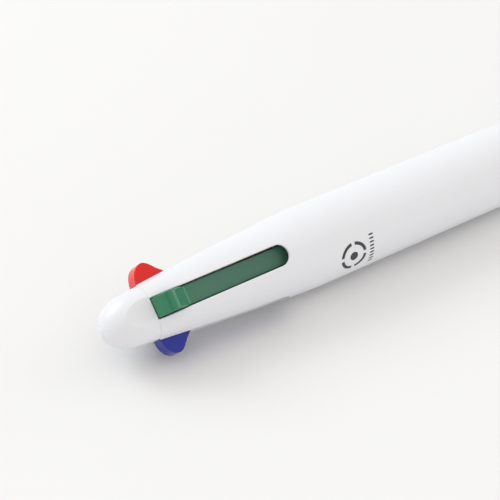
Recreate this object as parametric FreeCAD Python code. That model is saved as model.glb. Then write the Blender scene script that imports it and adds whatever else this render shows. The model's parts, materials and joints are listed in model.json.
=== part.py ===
import FreeCAD, Part

import math
import os

from FreeCAD import Vector

# A click pen with four ink colours, lying on its side. Units are millimetres.
#
# Every piece is first drawn in the pen's own frame: x runs along the axis from the seam
# between end cap and barrel towards the writing tip, z is the radius in the piece's own
# direction, y is across it. place() then turns the piece to its direction round the axis
# and lays the pen down along +X, with the origin under the middle of the whole pen.

# --- driving dimensions -------------------------------------------------------------------

PEN_LENGTH = 145.0          # end cap to nose
BARREL_R = 6.25             # straight part of the barrel, and height of the axis
CAP_LENGTH = 7.2            # end cap beyond the seam
SEAM_R = 4.53               # barrel radius at the seam
TAPER_LENGTH = 28.7         # the barrel grows from SEAM_R to BARREL_R over this length
TAPER_POWER = 1.42          # how the taper rounds off into the straight part
BARREL_JOINT = 66.0         # where upper and lower barrel meet
GREEN_ANGLE = 50.0          # green slider above the table, from -Y towards +Z
STROKE = 11.0               # travel of each colour slider
REFILL_OFFSET = 2.45        # refill axis from the pen axis
REFILL_R = 1.175            # outside of a refill tube
TIP_OUT = 2.7               # how far a pressed tip stands out of the nose

# --- dimensions worked out from them ------------------------------------------------------

NOSE_END = PEN_LENGTH - CAP_LENGTH
TIP_REST = NOSE_END + TIP_OUT - STROKE
X_SHIFT = -(NOSE_END - CAP_LENGTH) / 2
COLOURS = {"green": 0.0, "red": 90.0, "black": 180.0, "blue": 270.0}
CLIP_ANGLE = 135.0          # between the red and the black slider

# --- upper barrel -------------------------------------------------------------------------

SLOT_HALF = 1.6             # half width of a slider slot
SLOT_END = 21.85            # front end of the rounded slot
SLOT_EDGE = 0.12            # rounding of the slot's outer edge
PRONG_BORE_R = 3.55         # bore between the slots at the seam
PRONG_BORE_FRONT_R = 3.9
PRONG_BORE_END = 14.4       # the bore opens out beyond this point
SLIDE_BORE_R = 4.75
SLIDE_BORE_END = 30.0
BARREL_BORE_R = 5.1
RELIEF_START = 20.6         # pocket under the front end of each slot, which leaves a thin lip
RELIEF_END = 24.2
RELIEF_R = 5.6

# --- end cap ------------------------------------------------------------------------------

CAP_SEAM_R = 4.45           # nearly flush with the barrel between the slots
CAP_DOME_POWER = 2.0        # 2 gives the cap an elliptic outline, more makes it fuller
CAP_WALL = 1.0
CAP_FLAT_R = 4.03           # flats in line with the slots: radius at the seam
CAP_FLAT_TILT = 5.4         # degrees that a flat leans in towards the dome
CAP_FLAT_HALF = 3.0
GATE_R = 1.0                # faint ring of the moulding gate round the pole of the dome
GATE_GROOVE_R = 0.4         # section of that groove, mostly outside the dome
GATE_DEPTH = 0.06
POST_R = 2.1                # post that keeps the sliders apart at the rear
POST_END = 7.0
POST_RIB_HALF = 0.6
RIB_START = -1.85
RIB_END = 6.0
RIB_PLAY = 0.02             # between a rib and the barrel's bore

# --- colour sliders -----------------------------------------------------------------------

BAR_HALF = 1.46
BAR_R = 4.2                 # outer face of the bar
BAR_INNER_R = 2.6
BAR_FRONT_INNER_R = 2.0     # inner face in front of the cam
CAM_R = 1.6                 # inner face of the release cam
CAM_START = 13.5
CAM_END = 22.0
CAM_RAMP_REAR = 0.9         # length of the cam's ramps
CAM_RAMP_FRONT = 0.6
BAR_END = 25.0
BAR_REAR = 0.08
BAR_EDGE = 0.18             # rounding along the sides of the knob and the bar
# outline of the knob from its rear face over the crown to the bar: place along axis, radius
KNOB_OUTLINE = [(0.1, 4.3), (0.26, 5.15), (0.58, 5.9), (1.08, 6.48), (1.65, 6.78), (2.2, 6.84),
                (2.85, 6.55), (3.5, 5.95), (4.1, 5.3), (4.8, 4.7), (6.2, 4.2)]
SHOULDER_R = 1.5            # disc that the spring pushes on
SHOULDER_START = 24.0
SHOULDER_END = 28.0
PEG_R = 0.6                 # peg that holds the refill tube
PEG_LENGTH = 5.0

# --- springs and refills ------------------------------------------------------------------

GAP = 0.05                  # between pieces that rest on each other
SPRING_R = 1.45             # middle of the wire
SPRING_WIRE = 0.3
SPRING_TURNS = 11
GUIDE_START = 46.0
GUIDE_LENGTH = 3.0
GUIDE_HOLE_R = 1.3
TUBE_BORE_R = 0.8
INK_END_SHARE = 0.82        # how far back the ink column reaches
TIP_LENGTH = 12.0
TIP_PLUG_LENGTH = 3.0
BALL_R = 0.25
# writing tip from its mouth backwards: distance behind the mouth, radius
TIP_OUTLINE = [(0.0, 0.28), (2.0, 0.55), (5.5, 1.0), (10.0, 1.0), (10.0, REFILL_R), (12.0, REFILL_R)]

# --- coupler, lower barrel, nose ----------------------------------------------------------

COUPLER_START = 57.0
COUPLER_END = 76.0
COUPLER_BORE_R = 4.1
THREAD_R = 5.0
THREAD_ROOT_R = 4.75
THREAD_PITCH = 1.2
THREAD_TURNS = 6
THREAD_START = 67.0
THREAD_CLEARANCE = 0.05
THREAD_RISE = 0.3           # shares of the pitch where a thread's crest starts and ends
THREAD_FALL = 0.5
THREAD_FOOT = 0.8
THREAD_RELIEF = (1.0, 1.5)  # the lower barrel's thread bore steps down this far past the coupler
LOWER_R = 6.05              # a little slimmer than the upper barrel
JOINT_GAP = 0.08            # between the two barrels
LOWER_SKIN_SAG = 0.28       # share of the taper reached halfway along it
LOWER_END_SLOPE = -0.045
LOWER_STRAIGHT_END = 86.0   # the lower barrel is straight up to here
LOWER_END = 122.0
LOWER_END_R = 5.35
LOWER_BORE_R = 4.7
LOWER_FRONT_BORE_R = 4.35
LOWER_FRONT_BORE_START = 106.0
GROOVE_START = 96.0
GROOVE_PITCH = 2.6
GROOVES = 8
GROOVE_DEPTH = 0.16
GROOVE_HALF = 0.35
GROOVE_RISE = 0.1           # the cutter stands this far out of the skin
GROOVE_POWER = 1.84         # the skin's taper, as the grooves follow it
NOSE_GAP = 0.02             # between lower barrel and nose cone
NOSE_SPIGOT_START = 113.0
NOSE_BORE_R = 3.95
NOSE_HOLE_R = 1.15
NOSE_MOUTH_R = 1.4          # the inner cone ends here, just inside the hole
NOSE_HOLE_LENGTH = 0.8
NOSE_MOUTH_BACK = 1.5       # from the nose's end to the narrow and the wide end of the inner cone
NOSE_CONE_BACK = 11.9
NOSE_END_R = 1.75
NOSE_CHAMFER = 0.25
NOSE_WAIST = (-7.6, 4.35)   # a point of the outside: place from the nose's end, radius
NOSE_END_SLOPE = -0.42

# --- clip ---------------------------------------------------------------------------------

CLIP_START = 23.5
CLIP_END = 62.5
CLIP_HALF = 1.5
CLIP_TOP_R = 8.0
CLIP_EDGE_R = 7.6
CLIP_UNDER_R = 7.0
CLIP_ROOT_END = 28.5
CLIP_BUMP_R = 6.4           # inner point of the bump that holds the pocket
CLIP_SEAT_GAP = 0.06
PEG_START = 24.1
PEG_END = 27.0
PEG_HALF = 1.0
PEG_FOOT_R = 5.25
PEG_PLAY_REAR = 0.2         # room round the peg in its hole
PEG_PLAY_FRONT = 0.3
PEG_PLAY_SIDE = 0.15
PEG_PLAY_FOOT = 0.3
CLIP_REAR_CHAMFER = 0.5
CLIP_NOSE = 1.2             # length of the rounded free end
CLIP_NOSE_DROP = 1.1        # its height
CLIP_NOSE_ARC = (0.2, 0.4)  # middle point of the rounding: back from the end, below the top
CLIP_BUMP = (1.4, 3.1, 4.8)  # bump from front to rear: distances back from the free end
CLIP_ROOT_RAMP = 0.7


# --- helpers ------------------------------------------------------------------------------

def at(x, r):
    """A point of an outline: place along the axis and radius."""
    return Vector(x, 0, r)


def line(a, b):
    return Part.LineSegment(at(*a), at(*b)).toShape()


def chain(points):
    """Straight edges through a list of outline points."""
    return [line(a, b) for a, b in zip(points, points[1:]) if a != b]


def curve(points, start=None, end=None):
    """A smooth edge through outline points, with a direction at each end if given."""
    spline = Part.BSplineCurve()
    knots = [at(*p) for p in points]
    if start and end:
        spline.interpolate(Points=knots, InitialTangent=at(*start), FinalTangent=at(*end))
    else:
        spline.interpolate(Points=knots)
    return spline.toShape()


def turned(edges):
    """The solid that a closed outline sweeps round the pen axis."""
    face = Part.Face(Part.Wire(Part.__sortEdges__(edges)))
    return face.revolve(Vector(0, 0, 0), Vector(1, 0, 0), 360)


def rod(x0, x1, r, offset=0.0):
    """A cylinder along the axis, its own axis at a distance above the pen axis."""
    return Part.makeCylinder(r, x1 - x0, Vector(x0, 0, offset), Vector(1, 0, 0))


def slab(x0, x1, half, r0, r1):
    """A box across the pen, from radius r0 to r1."""
    return Part.makeBox(x1 - x0, 2 * half, r1 - r0, Vector(x0, -half, r0))


def extruded(edges, half):
    """A closed side outline made as wide as 2 * half."""
    face = Part.Face(Part.Wire(Part.__sortEdges__(edges)))
    face.translate(Vector(0, -half, 0))
    return face.extrude(Vector(0, 2 * half, 0))


def spun(shape, angle):
    """A copy turned round the pen axis, positive from green towards red."""
    copy = shape.copy()
    copy.rotate(Vector(0, 0, 0), Vector(1, 0, 0), -angle)
    return copy


def fuse_all(shapes):
    return shapes[0].fuse(shapes[1:]).removeSplitter()


# --- pieces -------------------------------------------------------------------------------

def barrel_radius(x):
    """Outer radius of the tapered rear part of the barrel."""
    left = max(TAPER_LENGTH - x, 0.0) / TAPER_LENGTH
    return BARREL_R - (BARREL_R - SEAM_R) * left ** TAPER_POWER


def make_upper_barrel():
    steps = 8
    taper = [(TAPER_LENGTH * n / steps, barrel_radius(TAPER_LENGTH * n / steps)) for n in range(steps + 1)]
    slope = (barrel_radius(0.5) - SEAM_R) / 0.5
    body = turned([
        curve(taper, start=(1, slope), end=(1, 0)),
        *chain([
            (TAPER_LENGTH, BARREL_R), (BARREL_JOINT, BARREL_R), (BARREL_JOINT, BARREL_BORE_R),
            (SLIDE_BORE_END, BARREL_BORE_R), (SLIDE_BORE_END, SLIDE_BORE_R),
            (PRONG_BORE_END, SLIDE_BORE_R), (PRONG_BORE_END, PRONG_BORE_FRONT_R),
            (0, PRONG_BORE_R), (0, SEAM_R),
        ]),
    ])
    round_start = SLOT_END - SLOT_HALF
    slot = slab(-1, round_start, SLOT_HALF, 2, BARREL_R + 1)
    slot = slot.fuse(Part.makeCylinder(SLOT_HALF, BARREL_R, Vector(round_start, 0, 2), Vector(0, 0, 1)))
    for angle in COLOURS.values():
        body = body.cut(spun(slot.removeSplitter(), angle))
    edges = [e for e in body.Edges if is_slot_edge(e)]
    body = body.makeFillet(SLOT_EDGE, edges)
    relief = slab(RELIEF_START, RELIEF_END, SLOT_HALF, BAR_R, RELIEF_R)
    for angle in COLOURS.values():
        body = body.cut(spun(relief, angle))
    clip_hole = slab(PEG_START - PEG_PLAY_REAR, PEG_END + PEG_PLAY_FRONT, PEG_HALF + PEG_PLAY_SIDE,
                     PEG_FOOT_R - PEG_PLAY_FOOT, BARREL_R + 1)
    return body.cut(spun(clip_hole, CLIP_ANGLE))


def is_slot_edge(edge):
    """True for an edge of a slot that lies on the outside of the barrel."""
    middle = edge.valueAt((edge.FirstParameter + edge.LastParameter) / 2)
    radius = math.hypot(middle.y, middle.z)
    on_skin = abs(radius - barrel_radius(middle.x)) < 0.03
    return on_skin and 0.1 < middle.x < SLOT_END + 0.1 and edge.BoundBox.XLength > 0.2


def cap_outline(inset, steps=8):
    """A smooth edge from the seam to the pole of the cap, drawn in by the inset."""
    points = []
    for n in range(steps):
        turn = math.pi / 2 * n / steps
        x = -(CAP_LENGTH - inset) * math.sin(turn) ** (2 / CAP_DOME_POWER)
        points.append((x, (CAP_SEAM_R - inset) * math.cos(turn) ** (2 / CAP_DOME_POWER)))
    return curve([*points, (inset - CAP_LENGTH, 0)], start=(-1, 0), end=(0, -1))


def make_end_cap():
    tip = -CAP_LENGTH
    outer = cap_outline(0)
    inner = cap_outline(CAP_WALL)
    shell = turned([outer, inner, line((0, CAP_SEAM_R), (0, CAP_SEAM_R - CAP_WALL)),
                    line((tip, 0), (tip + CAP_WALL, 0))])
    flat = slab(-CAP_LENGTH, 1, CAP_FLAT_HALF, CAP_FLAT_R, CAP_SEAM_R + 1)
    flat.rotate(Vector(0, 0, CAP_FLAT_R), Vector(0, 1, 0), -CAP_FLAT_TILT)
    for angle in COLOURS.values():
        shell = shell.cut(spun(flat, angle))
    gate_share = (1 - (GATE_R / CAP_SEAM_R) ** CAP_DOME_POWER) ** (1 / CAP_DOME_POWER)
    gate_x = -CAP_LENGTH * gate_share
    groove_x = gate_x - GATE_GROOVE_R + GATE_DEPTH
    shell = shell.cut(Part.makeTorus(GATE_R, GATE_GROOVE_R, Vector(groove_x, 0, 0), Vector(1, 0, 0)))
    post = rod(tip + CAP_WALL / 2, POST_END, POST_R)
    rib = slab(RIB_START, RIB_END, POST_RIB_HALF, 0, PRONG_BORE_R - RIB_PLAY)
    ribs = [spun(rib, 45 + angle) for angle in COLOURS.values()]
    inside = turned([inner, line((0, 0), (0, CAP_SEAM_R - CAP_WALL)), line((tip + CAP_WALL, 0), (0, 0))])
    core = fuse_all([post, *ribs])
    rear_core = core.common(inside.fuse(rod(0, POST_END, PRONG_BORE_R)))
    return fuse_all([shell, rear_core])


def make_slider():
    outline = [
        curve(KNOB_OUTLINE, start=(0.12, 1), end=(1, 0)),
        *chain([
            KNOB_OUTLINE[-1], (BAR_END, BAR_R), (BAR_END, BAR_FRONT_INNER_R),
            (CAM_END + CAM_RAMP_FRONT, BAR_FRONT_INNER_R), (CAM_END, CAM_R),
            (CAM_START + CAM_RAMP_REAR, CAM_R), (CAM_START, BAR_INNER_R),
            (BAR_REAR, BAR_INNER_R), KNOB_OUTLINE[0],
        ]),
    ]
    body = extruded(outline, BAR_HALF)
    crown = [e for e in body.Edges if is_outer_side_edge(e)]
    body = body.makeFillet(BAR_EDGE, crown)
    shoulder = rod(SHOULDER_START, SHOULDER_END, SHOULDER_R, REFILL_OFFSET)
    peg = rod(SHOULDER_END - 0.5, SHOULDER_END + PEG_LENGTH, PEG_R, REFILL_OFFSET)
    return fuse_all([body, shoulder, peg])


def is_outer_side_edge(edge):
    """True for the edges along both sides of the knob's outline and the bar's outer face."""
    box = edge.BoundBox
    knob = box.ZMax > KNOB_OUTLINE[0][1] + 1
    bar = abs(box.ZMin - BAR_R) < 0.001 and box.ZLength < 0.001
    rear = box.XMax < KNOB_OUTLINE[0][0] + 0.01 and box.ZLength > 1.0
    return box.YLength < 0.01 and (knob or bar or rear)


def make_spring():
    length = GUIDE_START - SHOULDER_END - 2 * GAP - SPRING_WIRE
    pitch = length / SPRING_TURNS
    helix = Part.makeHelix(pitch, length, SPRING_R)
    along_wire = Vector(0, math.tau * SPRING_R, pitch)
    section = Part.Wire(Part.makeCircle(SPRING_WIRE / 2, Vector(SPRING_R, 0, 0), along_wire))
    coil = Part.Wire(helix).makePipeShell([section], True, True)
    coil.rotate(Vector(0, 0, 0), Vector(0, 1, 0), 90)
    coil.translate(Vector(SHOULDER_END + GAP + SPRING_WIRE / 2, 0, REFILL_OFFSET))
    return coil


def make_refill_tube():
    start = SHOULDER_END + GAP
    end = TIP_REST - TIP_LENGTH
    return rod(start, end, REFILL_R, REFILL_OFFSET).cut(rod(start - 1, end + 1, TUBE_BORE_R, REFILL_OFFSET))


def make_ink():
    front = TIP_REST - TIP_LENGTH - TIP_PLUG_LENGTH
    rear = front - INK_END_SHARE * (front - SHOULDER_END - PEG_LENGTH)
    return rod(rear, front, TUBE_BORE_R, REFILL_OFFSET)


def make_refill_tip():
    outer = [(TIP_REST - back, r) for back, r in TIP_OUTLINE]
    rear = TIP_REST - TIP_LENGTH
    plug_end = rear - TIP_PLUG_LENGTH
    body = turned(chain([*outer, (rear, TUBE_BORE_R), (plug_end, TUBE_BORE_R), (plug_end, 0), (TIP_REST, 0),
                         outer[0]]))
    body = body.cut(Part.makeSphere(BALL_R, Vector(TIP_REST, 0, 0)))
    body.translate(Vector(0, 0, REFILL_OFFSET))
    return body


def make_refill_ball():
    return Part.makeSphere(BALL_R, Vector(TIP_REST, 0, REFILL_OFFSET))


def make_refill_guide():
    disc = rod(GUIDE_START, GUIDE_START + GUIDE_LENGTH, BARREL_BORE_R)
    for angle in COLOURS.values():
        hole = rod(GUIDE_START - 1, GUIDE_START + GUIDE_LENGTH + 1, GUIDE_HOLE_R, REFILL_OFFSET)
        disc = disc.cut(spun(hole, angle))
    return disc


def make_coupler():
    outline = [(COUPLER_START, COUPLER_BORE_R), (COUPLER_START, BARREL_BORE_R), (BARREL_JOINT, BARREL_BORE_R),
               (BARREL_JOINT, THREAD_ROOT_R)]
    for turn in range(THREAD_TURNS):
        x = THREAD_START + turn * THREAD_PITCH
        crest = (x + THREAD_PITCH * THREAD_RISE, x + THREAD_PITCH * THREAD_FALL)
        outline += [(x, THREAD_ROOT_R), (crest[0], THREAD_R), (crest[1], THREAD_R),
                    (x + THREAD_PITCH * THREAD_FOOT, THREAD_ROOT_R)]
    outline += [(COUPLER_END, THREAD_ROOT_R), (COUPLER_END, COUPLER_BORE_R), (COUPLER_START, COUPLER_BORE_R)]
    return turned(chain(outline))


def make_lower_barrel():
    start = BARREL_JOINT + JOINT_GAP
    thread_bore = THREAD_R + THREAD_CLEARANCE
    straight = (LOWER_STRAIGHT_END, LOWER_R)
    front = (LOWER_END, LOWER_END_R)
    bore = chain([
        front, (LOWER_END, LOWER_FRONT_BORE_R), (LOWER_FRONT_BORE_START, LOWER_FRONT_BORE_R),
        (LOWER_FRONT_BORE_START, LOWER_BORE_R), (COUPLER_END + THREAD_RELIEF[1], LOWER_BORE_R),
        (COUPLER_END + THREAD_RELIEF[0], thread_bore), (start, thread_bore), (start, LOWER_R),
    ])
    middle = ((LOWER_STRAIGHT_END + LOWER_END) / 2, LOWER_R - LOWER_SKIN_SAG * (LOWER_R - LOWER_END_R))
    skin = curve([straight, middle, front], start=(1, 0), end=(1, LOWER_END_SLOPE))
    body = turned([line((start, LOWER_R), straight), skin, *bore])
    for n in range(GROOVES):
        x = GROOVE_START + n * GROOVE_PITCH
        share = (x - LOWER_STRAIGHT_END) / (LOWER_END - LOWER_STRAIGHT_END)
        r = LOWER_R - (LOWER_R - LOWER_END_R) * share ** GROOVE_POWER
        top = r + GROOVE_RISE
        bottom = r - GROOVE_DEPTH
        groove = [(x - GROOVE_HALF, top), (x - GROOVE_HALF / 2, bottom), (x + GROOVE_HALF / 2, bottom),
                  (x + GROOVE_HALF, top), (x - GROOVE_HALF, top)]
        body = body.cut(turned(chain(groove)))
    return body


def make_nose_cone():
    start = LOWER_END + NOSE_GAP
    rim = (NOSE_END - NOSE_CHAMFER, NOSE_END_R)
    waist = (NOSE_END + NOSE_WAIST[0], NOSE_WAIST[1])
    outer = curve([(start, LOWER_END_R), waist, rim], start=(1, LOWER_END_SLOPE), end=(1, NOSE_END_SLOPE))
    inside = chain([
        rim, (NOSE_END, NOSE_END_R - NOSE_CHAMFER), (NOSE_END, NOSE_HOLE_R),
        (NOSE_END - NOSE_HOLE_LENGTH, NOSE_HOLE_R), (NOSE_END - NOSE_MOUTH_BACK, NOSE_MOUTH_R),
        (NOSE_END - NOSE_CONE_BACK, NOSE_BORE_R), (NOSE_SPIGOT_START, NOSE_BORE_R),
        (NOSE_SPIGOT_START, LOWER_FRONT_BORE_R), (start, LOWER_FRONT_BORE_R), (start, LOWER_END_R),
    ])
    return turned([outer, *inside])


def make_clip():
    under_barrel = BARREL_R + CLIP_SEAT_GAP
    arc_back, arc_drop = CLIP_NOSE_ARC
    bump_front, bump_middle, bump_rear = [CLIP_END - back for back in CLIP_BUMP]
    nose_start = at(CLIP_END - CLIP_NOSE, CLIP_TOP_R)
    nose_middle = at(CLIP_END - arc_back, CLIP_TOP_R - arc_drop)
    nose_end = at(CLIP_END, CLIP_TOP_R - CLIP_NOSE_DROP)
    side = [
        *chain([(CLIP_START, under_barrel), (CLIP_START, CLIP_TOP_R - CLIP_REAR_CHAMFER),
                (CLIP_START + CLIP_REAR_CHAMFER, CLIP_TOP_R), (CLIP_END - CLIP_NOSE, CLIP_TOP_R)]),
        Part.Arc(nose_start, nose_middle, nose_end).toShape(),
        line((CLIP_END, CLIP_TOP_R - CLIP_NOSE_DROP), (bump_front, CLIP_UNDER_R)),
        Part.Arc(at(bump_front, CLIP_UNDER_R), at(bump_middle, CLIP_BUMP_R),
                 at(bump_rear, CLIP_UNDER_R)).toShape(),
        *chain([(bump_rear, CLIP_UNDER_R), (CLIP_ROOT_END + CLIP_ROOT_RAMP, CLIP_UNDER_R),
                (CLIP_ROOT_END, under_barrel), (CLIP_START, under_barrel)]),
    ]
    body = extruded(side, CLIP_HALF)
    sag = CLIP_TOP_R - CLIP_EDGE_R
    crown_r = (CLIP_HALF ** 2 + sag ** 2) / (2 * sag)
    crown = rod(CLIP_START - 1, CLIP_END + 1, crown_r, CLIP_TOP_R - crown_r)
    below = slab(CLIP_START - 1, CLIP_END + 1, CLIP_HALF + 1, 0, CLIP_EDGE_R - 0.01)
    body = body.common(crown.fuse(below))
    body = body.cut(rod(CLIP_START - 1, CLIP_ROOT_END + 1, under_barrel))
    peg = slab(PEG_START, PEG_END, PEG_HALF, PEG_FOOT_R, CLIP_UNDER_R)
    return fuse_all([body, peg])


# --- assembly -----------------------------------------------------------------------------

def pen_pieces():
    """Every node's solid in the pen's own frame, turned to its own direction."""
    pieces = {
        "end_cap": make_end_cap(),
        "upper_barrel": make_upper_barrel(),
        "refill_guide": make_refill_guide(),
        "threaded_coupler": make_coupler(),
        "lower_barrel": make_lower_barrel(),
        "nose_cone": make_nose_cone(),
        "clip": spun(make_clip(), CLIP_ANGLE),
    }
    per_colour = {
        "slider": make_slider(),
        "spring": make_spring(),
        "refill_tube": make_refill_tube(),
        "refill_ink": make_ink(),
        "refill_tip": make_refill_tip(),
        "refill_ball": make_refill_ball(),
    }
    for colour, angle in COLOURS.items():
        for part, shape in per_colour.items():
            pieces[f"{colour}_{part}"] = spun(shape, angle)
    return pieces


def place(shape, across):
    """Lays a piece down: green at its angle above the table, the axis at the barrel's radius."""
    laid = shape.copy()
    laid.rotate(Vector(0, 0, 0), Vector(1, 0, 0), 90 - GREEN_ANGLE)
    laid.translate(Vector(X_SHIFT, across, BARREL_R))
    return laid


def main():
    os.makedirs("parts", exist_ok=True)
    pieces = pen_pieces()
    boxes = [place(shape, 0).BoundBox for shape in pieces.values()]
    across = -(min(b.YMin for b in boxes) + max(b.YMax for b in boxes)) / 2
    for name, shape in pieces.items():
        solid = place(shape, across)
        print(name, solid.ShapeType, len(solid.Solids), solid.isValid(), round(solid.Volume, 3))
        if len(solid.Solids) == 1:
            solid = solid.Solids[0]
        solid.exportStep(f"parts/{name}.step")
    print("axis at y", round(across, 4), "z", BARREL_R, "x shift", X_SHIFT, "tip at rest", TIP_REST)


main()
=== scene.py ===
import json
import math

import bmesh
import bpy
from mathutils import Matrix, Vector


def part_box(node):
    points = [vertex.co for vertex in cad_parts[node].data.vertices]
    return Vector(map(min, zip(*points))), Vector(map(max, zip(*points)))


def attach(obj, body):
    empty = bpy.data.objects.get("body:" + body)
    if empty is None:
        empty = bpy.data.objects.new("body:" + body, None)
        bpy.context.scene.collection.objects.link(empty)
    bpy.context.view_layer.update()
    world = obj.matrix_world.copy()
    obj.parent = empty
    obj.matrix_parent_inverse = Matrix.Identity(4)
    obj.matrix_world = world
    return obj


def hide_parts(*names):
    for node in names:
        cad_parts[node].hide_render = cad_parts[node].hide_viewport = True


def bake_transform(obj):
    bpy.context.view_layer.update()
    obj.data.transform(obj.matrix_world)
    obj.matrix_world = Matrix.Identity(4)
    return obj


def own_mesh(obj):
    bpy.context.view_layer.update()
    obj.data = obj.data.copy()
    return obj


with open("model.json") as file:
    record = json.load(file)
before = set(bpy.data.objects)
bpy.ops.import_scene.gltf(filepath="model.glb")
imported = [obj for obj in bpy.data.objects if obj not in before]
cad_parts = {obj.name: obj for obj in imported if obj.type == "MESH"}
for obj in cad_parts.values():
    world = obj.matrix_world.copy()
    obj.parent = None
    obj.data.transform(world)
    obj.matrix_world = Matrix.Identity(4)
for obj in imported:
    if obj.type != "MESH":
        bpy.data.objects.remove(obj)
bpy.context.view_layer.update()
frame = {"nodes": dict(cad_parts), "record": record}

# A click pen with four ink colours, lying on a pale table. Lengths are in metres.
# Places on the pen are given in the pen's own terms: how far along the axis from the seam
# between end cap and barrel, how far round from the green slider towards the red one in
# degrees, and the radius.

MM = 0.001
COLOURS = {"green": 0.0, "red": 90.0, "black": 180.0, "blue": 270.0}
GREEN_ANGLE = 50.0                      # green slider above -Y, as in the record's frame
BARREL_R = 6.25 * MM
REFILL_OFFSET = 2.45 * MM               # refill axis from the pen axis
KNOB_END = 6.0 * MM                     # the knob's outline meets the flat bar here
ALONG = Vector((1, 0, 0))               # from the end cap towards the writing end


def mount(name):
    """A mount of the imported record."""
    return next(m for m in frame["record"]["mounts"] if m["name"] == name)


SEAM_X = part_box("upper_barrel")[0][0]
AXIS_Y, AXIS_Z = mount("barrel_sleeve")["pos_m"][1:]


def radial(angle):
    """Unit direction across the pen, so many degrees round from the green slider."""
    turn = math.radians(GREEN_ANGLE + angle)
    return Vector((0, -math.cos(turn), math.sin(turn)))


def on_pen(along, angle, radius):
    """The point at that place along, round and out from the pen's axis."""
    return Vector((SEAM_X + along, AXIS_Y, AXIS_Z)) + radial(angle) * radius


# --- camera -------------------------------------------------------------------------------

CAMERA_BACK = -79.35 * MM               # along the pen, behind the seam
CAMERA_OUT = 196.13 * MM                # from the axis towards the green side
CAMERA_DOWN = -10.69 * MM               # from the axis towards the blue side
CAMERA_RIGHT = (0.8251, 0.3871, -0.4116)  # along the pen, towards green, towards red
CAMERA_AHEAD = (0.4484, -0.8918, 0.0603)
LENS_MM = 108.16
SENSOR_MM = 36.0
LENS_SHIFT = (-0.0003, 0.0019)          # shares of the picture's width
NEAR_LIMIT = 5 * MM
FAR_LIMIT = 20.0


def pen_vector(along, green, red):
    """A direction from its shares along the pen, towards green and towards red."""
    mixed = ALONG * along + radial(COLOURS["green"]) * green + radial(COLOURS["red"]) * red
    return mixed.normalized()


def make_camera():
    right = pen_vector(*CAMERA_RIGHT)
    ahead = pen_vector(*CAMERA_AHEAD)
    up = right.cross(ahead).normalized()
    right = ahead.cross(up)
    place = on_pen(CAMERA_BACK, COLOURS["green"], CAMERA_OUT) + radial(COLOURS["red"]) * CAMERA_DOWN
    data = bpy.data.cameras.new("camera")
    data.lens = LENS_MM
    data.sensor_width = SENSOR_MM
    data.shift_x, data.shift_y = LENS_SHIFT
    data.clip_start = NEAR_LIMIT
    data.clip_end = FAR_LIMIT
    camera = bpy.data.objects.new("camera", data)
    turn = Matrix((right, up, -ahead)).transposed()
    camera.matrix_world = Matrix.Translation(place) @ turn.to_4x4()
    bpy.context.scene.collection.objects.link(camera)
    bpy.context.scene.camera = camera


make_camera()


# --- floor and light ----------------------------------------------------------------------

def node_material(name):
    """A material, its node tree and its shader node."""
    material = bpy.data.materials.new(name)
    material.use_nodes = True
    tree = material.node_tree
    return material, tree, tree.nodes["Principled BSDF"]


def add_node(tree, kind, **sockets):
    """A node of that kind, with the named inputs set; spaces in names are underscores."""
    node = tree.nodes.new(kind)
    for socket, value in sockets.items():
        node.inputs[socket.replace("_", " ")].default_value = value
    return node


def add_ramp(tree, factor, low, high, low_at=0.3, high_at=0.7):
    """A two-colour ramp driven by a socket."""
    ramp = tree.nodes.new("ShaderNodeValToRGB")
    for element, place, colour in zip(ramp.color_ramp.elements, (low_at, high_at), (low, high)):
        element.position = place
        element.color = (*colour, 1)
    tree.links.new(factor, ramp.inputs["Fac"])
    return ramp


TABLE_HALF = 3.0
TABLE_TONES = ((0.785, 0.785, 0.79), (0.80, 0.80, 0.805))
TABLE_GRAIN_SCALE = 60.0
TABLE_ROUGHNESS = 0.75
TABLE_SPECULAR = 0.2


def make_floor():
    material, tree, shader = node_material("pale_table")
    noise = add_node(tree, "ShaderNodeTexNoise", Scale=TABLE_GRAIN_SCALE, Detail=3.0)
    ramp = add_ramp(tree, noise.outputs["Fac"], *TABLE_TONES)
    tree.links.new(ramp.outputs["Color"], shader.inputs["Base Color"])
    shader.inputs["Roughness"].default_value = TABLE_ROUGHNESS
    shader.inputs["Specular IOR Level"].default_value = TABLE_SPECULAR
    corners = [(x * TABLE_HALF, y * TABLE_HALF, 0) for x, y in ((-1, -1), (1, -1), (1, 1), (-1, 1))]
    mesh = bpy.data.meshes.new("table_top")
    mesh.from_pydata(corners, [], [(0, 1, 2, 3)])
    floor = bpy.data.objects.new("table_top", mesh)
    floor.data.materials.append(material)
    bpy.context.scene.collection.objects.link(floor)


def make_light(name, place, target, size, watts, colour):
    """A square soft light at a place, facing a target."""
    data = bpy.data.lights.new(name, "AREA")
    data.shape = "SQUARE"
    data.size = size
    data.energy = watts
    data.color = colour
    light = bpy.data.objects.new(name, data)
    light.location = place
    facing = Vector(target) - Vector(place)
    light.rotation_euler = facing.to_track_quat("-Z", "Y").to_euler()
    bpy.context.scene.collection.objects.link(light)


SKY = (1.005, 0.975, 0.928)             # soft light from all round, a little warm
ROOM = (0.10, 0.10, 0.11)               # the darker room behind the camera
WINDOW = (2.0, 2.0, 2.02)               # a bright patch low beyond the writing end
ROOM_FADE = (0.955, 0.99)               # cosines from the patch's middle: where it starts, is full
WINDOW_FADE = (0.89, 0.95)
ROOM_SIDE = (-CAMERA_AHEAD[0], -CAMERA_AHEAD[1], -CAMERA_AHEAD[2])
WINDOW_SIDE = (0.934, 0.352, 0.06)
KEY_PLACE = (-0.45, 0.70, 0.61)
KEY_SIZE = 0.5
KEY_WATTS = 3.6
KEY_COLOUR = (0.84, 0.94, 1.0)


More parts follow.
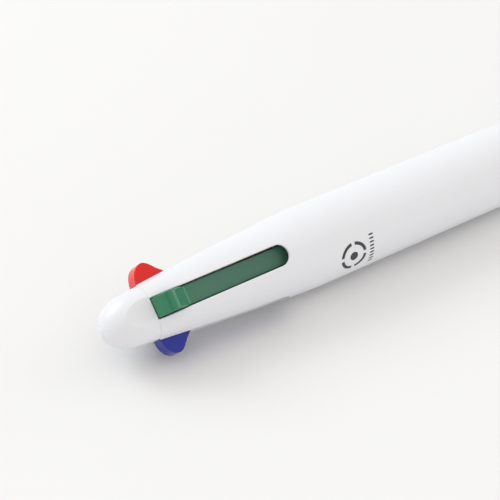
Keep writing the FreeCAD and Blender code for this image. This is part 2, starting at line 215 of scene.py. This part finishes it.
def add_patch(tree, direction, sky, side, colour, fade):
    """Mixes a soft round patch of another brightness into the sky colour."""
    aim = add_node(tree, "ShaderNodeVectorMath")
    aim.operation = "DOT_PRODUCT"
    aim.inputs[1].default_value = pen_vector(*side)
    share = add_node(tree, "ShaderNodeMapRange", From_Min=fade[0], From_Max=fade[1])
    share.interpolation_type = "SMOOTHSTEP"
    mix = tree.nodes.new("ShaderNodeMix")
    mix.data_type = "RGBA"
    tree.links.new(direction, aim.inputs[0])
    tree.links.new(aim.outputs["Value"], share.inputs["Value"])
    tree.links.new(share.outputs["Result"], mix.inputs["Factor"])
    tree.links.new(sky, mix.inputs["A"])
    mix.inputs["B"].default_value = (*colour, 1)
    return mix.outputs["Result"]


def make_studio():
    """Light walls all round, a dark and a bright patch in them, and one soft key light."""
    world = bpy.data.worlds.new("studio")
    world.use_nodes = True
    tree = world.node_tree
    direction = tree.nodes.new("ShaderNodeTexCoord").outputs["Generated"]
    base = tree.nodes.new("ShaderNodeRGB").outputs["Color"]
    base.default_value = (*SKY, 1)
    with_room = add_patch(tree, direction, base, ROOM_SIDE, ROOM, ROOM_FADE)
    with_window = add_patch(tree, direction, with_room, WINDOW_SIDE, WINDOW, WINDOW_FADE)
    tree.links.new(with_window, tree.nodes["Background"].inputs["Color"])
    scene = bpy.context.scene
    scene.world = world
    scene.view_settings.view_transform = "Standard"
    make_light("key", KEY_PLACE, on_pen(0, 0, 0), KEY_SIZE, KEY_WATTS, KEY_COLOUR)


make_floor()
make_studio()


# --- materials ----------------------------------------------------------------------------

CLOUD_SCALE = 120.0                     # per metre: patches of tone about 8 mm across
MOULD_SKIN_SCALE = 9000.0
SLIDER_SKIN_SCALE = 7000.0
SLIDER_SKIN_STRENGTH = 0.01
SKIN_HEIGHT = 0.1 * MM
RING_HEIGHT = 0.05 * MM
RING_STRENGTH = 0.08
STREAK_SCALE = (40.0, 2500.0, 2500.0)   # long along the tube, fine across it
STREAK_TONES = ((0.84, 0.88, 0.88), (0.92, 0.94, 0.94))
TUBE_GLOSS = (0.18, 0.3)
TUBE_TRANSMISSION = 0.75
TUBE_IOR = 1.49
DARK_RING = 0.88                        # tone of the dark rings on metal, as a share
DARK_INK = 0.8


def add_skin(tree, shader, scale, strength, coordinates):
    """A fine bump over the whole surface, as spark erosion leaves on a mould."""
    skin = add_node(tree, "ShaderNodeTexNoise", Scale=scale, Detail=2.0)
    bump = add_node(tree, "ShaderNodeBump", Strength=strength, Distance=SKIN_HEIGHT)
    tree.links.new(coordinates, skin.inputs["Vector"])
    tree.links.new(skin.outputs["Fac"], bump.inputs["Height"])
    tree.links.new(bump.outputs["Normal"], shader.inputs["Normal"])


def moulded_plastic(name, light, dark, roughness, grain=0.012):
    """Moulded plastic: slightly cloudy tone, slightly uneven gloss and a fine skin."""
    material, tree, shader = node_material(name)
    coordinates = tree.nodes.new("ShaderNodeTexCoord").outputs["Object"]
    cloud = add_node(tree, "ShaderNodeTexNoise", Scale=CLOUD_SCALE, Detail=1.0)
    tree.links.new(coordinates, cloud.inputs["Vector"])
    tone = add_ramp(tree, cloud.outputs["Fac"], dark, light)
    gloss = add_node(tree, "ShaderNodeMapRange", From_Min=0.3, From_Max=0.7, To_Min=roughness * 0.94,
                     To_Max=roughness * 1.06)
    tree.links.new(cloud.outputs["Fac"], gloss.inputs["Value"])
    tree.links.new(gloss.outputs["Result"], shader.inputs["Roughness"])
    tree.links.new(tone.outputs["Color"], shader.inputs["Base Color"])
    add_skin(tree, shader, MOULD_SKIN_SCALE, grain, coordinates)
    return material


KNOB_ROUGHNESS = 0.2
BAR_ROUGHNESS = 0.36
SLIDER_SPECULAR = 0.44


def slider_plastic(name, knob, bar):
    """Glossy where the thumb polishes the knob and duller along the sliding bar; the bar's greyer tone
    is painted sheen, the white room reflected in it.
    """
    material, tree, shader = node_material(name)
    coordinates = tree.nodes.new("ShaderNodeTexCoord").outputs["Object"]
    parts = tree.nodes.new("ShaderNodeSeparateXYZ")
    on_bar = add_node(tree, "ShaderNodeMapRange", From_Min=SEAM_X + KNOB_END - 0.5 * MM,
                      From_Max=SEAM_X + KNOB_END + 0.4 * MM)
    gloss = add_node(tree, "ShaderNodeMapRange", To_Min=KNOB_ROUGHNESS, To_Max=BAR_ROUGHNESS)
    tree.links.new(coordinates, parts.inputs["Vector"])
    tree.links.new(parts.outputs["X"], on_bar.inputs["Value"])
    tree.links.new(on_bar.outputs["Result"], gloss.inputs["Value"])
    tree.links.new(gloss.outputs["Result"], shader.inputs["Roughness"])
    shader.inputs["Specular IOR Level"].default_value = SLIDER_SPECULAR
    # The tone runs from the knob's colour to the bar's greyer one, which is painted sheen.
    tone = add_ramp(tree, on_bar.outputs["Result"], knob, bar, 0.0, 1.0)
    tree.links.new(tone.outputs["Color"], shader.inputs["Base Color"])
    add_skin(tree, shader, SLIDER_SKIN_SCALE, SLIDER_SKIN_STRENGTH, coordinates)
    return material


def turned_metal(name, colour, roughness, lines):
    """Metal with fine rings round the pen's direction, from drawing or turning."""
    material, tree, shader = node_material(name)
    coordinates = tree.nodes.new("ShaderNodeTexCoord").outputs["Object"]
    rings = add_node(tree, "ShaderNodeTexWave", Scale=lines, Distortion=1.5, Detail=2.0)
    rings.bands_direction = "X"
    bump = add_node(tree, "ShaderNodeBump", Strength=RING_STRENGTH, Distance=RING_HEIGHT)
    gloss = add_node(tree, "ShaderNodeMapRange", To_Min=roughness * 0.8, To_Max=roughness * 1.3)
    darker = tuple(channel * DARK_RING for channel in colour)
    tone = add_ramp(tree, rings.outputs["Fac"], darker, colour, 0.0, 1.0)
    tree.links.new(coordinates, rings.inputs["Vector"])
    tree.links.new(rings.outputs["Fac"], gloss.inputs["Value"])
    tree.links.new(gloss.outputs["Result"], shader.inputs["Roughness"])
    tree.links.new(tone.outputs["Color"], shader.inputs["Base Color"])
    tree.links.new(rings.outputs["Fac"], bump.inputs["Height"])
    tree.links.new(bump.outputs["Normal"], shader.inputs["Normal"])
    shader.inputs["Metallic"].default_value = 1.0
    return material


def clear_tube(name):
    """Extruded translucent plastic with faint lengthwise streaks."""
    material, tree, shader = node_material(name)
    coordinates = tree.nodes.new("ShaderNodeTexCoord").outputs["Object"]
    stretch = add_node(tree, "ShaderNodeMapping", Scale=STREAK_SCALE)
    streak = add_node(tree, "ShaderNodeTexNoise", Scale=1.0, Detail=2.0)
    gloss = add_node(tree, "ShaderNodeMapRange", From_Min=0.3, From_Max=0.7, To_Min=TUBE_GLOSS[0],
                     To_Max=TUBE_GLOSS[1])
    tone = add_ramp(tree, streak.outputs["Fac"], *STREAK_TONES)
    tree.links.new(coordinates, stretch.inputs["Vector"])
    tree.links.new(stretch.outputs["Vector"], streak.inputs["Vector"])
    tree.links.new(streak.outputs["Fac"], gloss.inputs["Value"])
    tree.links.new(gloss.outputs["Result"], shader.inputs["Roughness"])
    tree.links.new(tone.outputs["Color"], shader.inputs["Base Color"])
    shader.inputs["Transmission Weight"].default_value = TUBE_TRANSMISSION
    shader.inputs["IOR"].default_value = TUBE_IOR
    return material


WHITE = moulded_plastic("white_abs", (0.765, 0.776, 0.82), (0.755, 0.766, 0.81), 0.3)
NATURAL = moulded_plastic("natural_plastic", (0.8, 0.8, 0.76), (0.76, 0.76, 0.72), 0.45)
PRINT = moulded_plastic("printed_grey", (0.045, 0.05, 0.05), (0.03, 0.034, 0.034), 0.5, 0.03)
SPRING_WIRE = turned_metal("spring_wire", (0.62, 0.62, 0.63), 0.28, 900.0)
NICKEL_SILVER = turned_metal("nickel_silver", (0.75, 0.73, 0.68), 0.22, 1500.0)
BALL_STEEL = turned_metal("ball_steel", (0.8, 0.8, 0.8), 0.08, 2500.0)
TUBE = clear_tube("refill_tube")
KNOB_TONES = {
    "green": (0.024, 0.18, 0.092),
    "red": (0.70, 0.006, 0.003),
    "black": (0.018, 0.018, 0.019),
    "blue": (0.004, 0.014, 0.26),
}
# The bars' tones are greyer than the knobs': painted sheen standing in for the white room reflected in
# the sliding bar.
BAR_TONES_WITH_PAINTED_SHEEN = {
    "green": (0.05, 0.155, 0.106),
    "red": (0.6, 0.03, 0.02),
    "black": (0.03, 0.03, 0.031),
    "blue": (0.03, 0.04, 0.28),
}
INK_TONES = {
    "green": (0.01, 0.14, 0.06),
    "red": (0.42, 0.01, 0.015),
    "black": (0.008, 0.008, 0.01),
    "blue": (0.008, 0.02, 0.26),
}


def dress(node, material):
    """Gives a CAD node its material."""
    mesh = frame["nodes"][node].data
    mesh.materials.clear()
    mesh.materials.append(material)


for node in ("end_cap", "upper_barrel", "lower_barrel", "nose_cone", "clip"):
    dress(node, WHITE)
for node in ("refill_guide", "threaded_coupler"):
    dress(node, NATURAL)
for colour in COLOURS:
    ink = INK_TONES[colour]
    darker_ink = tuple(channel * DARK_INK for channel in ink)
    dress(f"{colour}_slider", slider_plastic(f"{colour}_plastic", KNOB_TONES[colour], BAR_TONES_WITH_PAINTED_SHEEN[colour]))
    dress(f"{colour}_refill_ink", moulded_plastic(f"{colour}_ink", ink, darker_ink, 0.12, 0.004))
    dress(f"{colour}_refill_tip", NICKEL_SILVER)
    dress(f"{colour}_refill_ball", BALL_STEEL)


# --- mesh helpers -------------------------------------------------------------------------

def finish_piece(name, bm, material, body=None):
    """Turns a bmesh into a smooth-shaded object, riding on a body if one is named."""
    bmesh.ops.recalc_face_normals(bm, faces=bm.faces[:])
    mesh = bpy.data.meshes.new(name)
    bm.to_mesh(mesh)
    bm.free()
    for polygon in mesh.polygons:
        polygon.use_smooth = True
    mesh.materials.append(material)
    piece = bpy.data.objects.new(name, mesh)
    bpy.context.scene.collection.objects.link(piece)
    if body:
        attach(piece, body)
    return piece


def bridge(bm, first, second):
    """Quads between two rings of the same number of vertices."""
    count = len(first)
    for n in range(count):
        after = (n + 1) % count
        bm.faces.new((first[n], first[after], second[after], second[n]))


# --- springs ------------------------------------------------------------------------------

SPRING_R = 1.45 * MM                    # middle of the wire
WIRE_R = 0.15 * MM
SPRING_TURNS = 11
END_TURNS = 1.25                        # closed turns at each end
STEPS_PER_TURN = 36
WIRE_SIDES = 10


def spring_advance(turn, length):
    """Distance reached after so many turns: closed at the ends, open between."""
    end_length = END_TURNS * 2 * WIRE_R
    if turn < END_TURNS:
        return turn * 2 * WIRE_R
    if turn > SPRING_TURNS - END_TURNS:
        return length - (SPRING_TURNS - turn) * 2 * WIRE_R
    open_share = (turn - END_TURNS) / (SPRING_TURNS - 2 * END_TURNS)
    return end_length + open_share * (length - 2 * end_length)


def make_spring(colour, angle):
    """A compression spring with closed ends, from its slider's shoulder to the guide."""
    low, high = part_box(f"{colour}_spring")
    start = low[0] + WIRE_R - SEAM_X
    length = high[0] - low[0] - 2 * WIRE_R
    out = radial(angle)
    side = ALONG.cross(out)
    bm = bmesh.new()
    rings = []
    steps = SPRING_TURNS * STEPS_PER_TURN
    for step in range(steps + 1):
        turn = step / STEPS_PER_TURN
        around = turn * math.tau
        spoke = out * math.cos(around) + side * math.sin(around)
        along = start + spring_advance(turn, length)
        centre = on_pen(along, angle, REFILL_OFFSET) + spoke * SPRING_R
        ring = []
        for n in range(WIRE_SIDES):
            roll = n * math.tau / WIRE_SIDES
            offset = spoke * math.cos(roll) + ALONG * math.sin(roll)
            ring.append(bm.verts.new(centre + offset * WIRE_R))
        rings.append(ring)
    for first, second in zip(rings, rings[1:]):
        bridge(bm, first, second)
    for ring in (rings[0], rings[-1]):
        bm.faces.new(ring)
    spring = finish_piece(f"{colour}_coil_spring", bm, SPRING_WIRE, "pen_body")
    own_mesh(spring)
    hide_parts(f"{colour}_spring")


# --- refill tubes -------------------------------------------------------------------------

TUBE_R = 1.175 * MM
TUBE_BORE_R = 0.8 * MM
TUBE_SIDES = 40
TUBE_STEP = 2.0 * MM
TUBE_LIP = 0.12 * MM                    # rounding of the tube's cut ends
TUBE_LIP_SHARE = 0.3                    # the middle of that rounding, as a share of it
CRIMP_BACK = 1.6 * MM                   # the tube is rolled in here to hold the tip's plug
CRIMP_DEPTH = 0.07 * MM
CRIMP_HALF = 0.35 * MM
CRIMP_SHARES = (-1, -0.6, -0.2, 0.2, 0.6, 1)


def tube_outline(length):
    """Outer radius at places along the tube: rounded ends and one rolled-in ring."""
    crimp = length - CRIMP_BACK
    corner = TUBE_LIP * TUBE_LIP_SHARE
    places = [(0, TUBE_R - TUBE_LIP), (corner, TUBE_R - corner), (TUBE_LIP, TUBE_R)]
    count = int((crimp - 3 * TUBE_LIP) / TUBE_STEP)
    places += [(2 * TUBE_LIP + n * TUBE_STEP, TUBE_R) for n in range(count)]
    for share in CRIMP_SHARES:
        places.append((crimp + share * CRIMP_HALF, TUBE_R - CRIMP_DEPTH * (1 - share ** 2)))
    places += [(length - TUBE_LIP, TUBE_R), (length - corner, TUBE_R - corner),
               (length, TUBE_R - TUBE_LIP)]
    return places


def make_tube(colour, angle):
    """The refill's plastic tube, from the slider's peg to the writing tip."""
    low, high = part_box(f"{colour}_refill_tube")
    start = low[0] - SEAM_X
    length = high[0] - low[0]
    outer = tube_outline(length)
    loop = outer + [(length, TUBE_BORE_R), (0, TUBE_BORE_R)]
    out = radial(angle)
    side = ALONG.cross(out)
    bm = bmesh.new()
    rings = []
    for along, radius in loop:
        centre = on_pen(start + along, angle, REFILL_OFFSET)
        rings.append([
            bm.verts.new(centre + (out * math.cos(n * math.tau / TUBE_SIDES)
                                   + side * math.sin(n * math.tau / TUBE_SIDES)) * radius)
            for n in range(TUBE_SIDES)
        ])
    for first, second in zip(rings, rings[1:] + rings[:1]):
        bridge(bm, first, second)
    tube = finish_piece(f"{colour}_ink_tube", bm, TUBE)
    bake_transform(tube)
    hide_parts(f"{colour}_refill_tube")


for colour, angle in COLOURS.items():
    make_spring(colour, angle)
    make_tube(colour, angle)


# --- printed mark -------------------------------------------------------------------------
# A plain generic mark where such pens carry a moulder's note: a broken ring round a dot, and
# a row of short bars. It holds no letters.

MARK_ALONG = 32.3 * MM
MARK_ANGLE = -44.0
RING_R = 2.3 * MM
RING_LINE = 0.5 * MM
RING_GAPS = 4
RING_GAP_ANGLE = 16.0
DOT_R = 0.7 * MM
BAR_ROW_ALONG = 3.35 * MM               # from the ring's centre towards the tip
BAR_COUNT = 9
BAR_PITCH = 0.6 * MM
BAR_LENGTH = 0.8 * MM
BAR_WIDTH = 0.27 * MM
BAR_TAPER = 0.45                        # share of a bar's width lost at its ends
RING_STEPS = 16
DISC_ROWS = 14
DISC_COLUMNS = 8
DISC_END = 84.0                         # degrees from the middle to the first and last row
INK_LIFT = 0.008 * MM
INK_SINK = 0.02 * MM


def on_skin(along, across, lift):
    """A point of the printed mark, from its place on the unrolled barrel."""
    angle = MARK_ANGLE + math.degrees(across / BARREL_R)
    return on_pen(MARK_ALONG + along, angle, BARREL_R + lift)


def add_ink(bm, rows):
    """A thin closed patch of ink on the barrel from rows of unrolled points."""
    top = [[bm.verts.new(on_skin(a, c, INK_LIFT)) for a, c in row] for row in rows]
    bottom = [[bm.verts.new(on_skin(a, c, -INK_SINK)) for a, c in row] for row in rows]
    for layer in (top, bottom):
        for row, after in zip(layer, layer[1:]):
            for n in range(len(row) - 1):
                bm.faces.new((row[n], row[n + 1], after[n + 1], after[n]))
    upper = top[0] + [row[-1] for row in top[1:-1]] + top[-1][::-1] + [row[0] for row in top[-2:0:-1]]
    lower = bottom[0] + [row[-1] for row in bottom[1:-1]] + bottom[-1][::-1]
    lower += [row[0] for row in bottom[-2:0:-1]]
    bridge(bm, upper, lower)


def ring_rows(start, end, inner, outer, steps):
    """Rows of points across a piece of a ring."""
    rows = []
    for step in range(steps + 1):
        turn = math.radians(start + (end - start) * step / steps)
        rows.append([(radius * math.cos(turn), radius * math.sin(turn)) for radius in (inner, outer)])
    return rows


def bar_rows(centre, steps=4):
    """Rows of points over one short bar with its corners taken off."""
    rows = []
    for step in range(steps + 1):
        share = 2 * step / steps - 1
        half = BAR_WIDTH / 2 * (1 - BAR_TAPER * share ** 4)
        along = BAR_ROW_ALONG + share * BAR_LENGTH / 2
        rows.append([(along, centre - half), (along, centre + half)])
    return rows


def disc_rows(radius, count, columns):
    """Rows of points over a round dot, close enough together to follow the barrel."""
    rows = []
    for n in range(count + 1):
        along = radius * math.sin(math.radians(DISC_END * (2 * n / count - 1)))
        half = math.sqrt(radius ** 2 - along ** 2)
        rows.append([(along, half * (2 * m / columns - 1)) for m in range(columns + 1)])
    return rows


def make_mark():
    bm = bmesh.new()
    piece_angle = 360 / RING_GAPS
    for n in range(RING_GAPS):
        start = n * piece_angle + RING_GAP_ANGLE / 2
        end = (n + 1) * piece_angle - RING_GAP_ANGLE / 2
        add_ink(bm, ring_rows(start, end, RING_R - RING_LINE, RING_R, RING_STEPS))
    for n in range(BAR_COUNT):
        add_ink(bm, bar_rows((n - (BAR_COUNT - 1) / 2) * BAR_PITCH))
    add_ink(bm, disc_rows(DOT_R, DISC_ROWS, DISC_COLUMNS))
    mark = finish_piece("printed_mark", bm, PRINT, "pen_body")


make_mark()
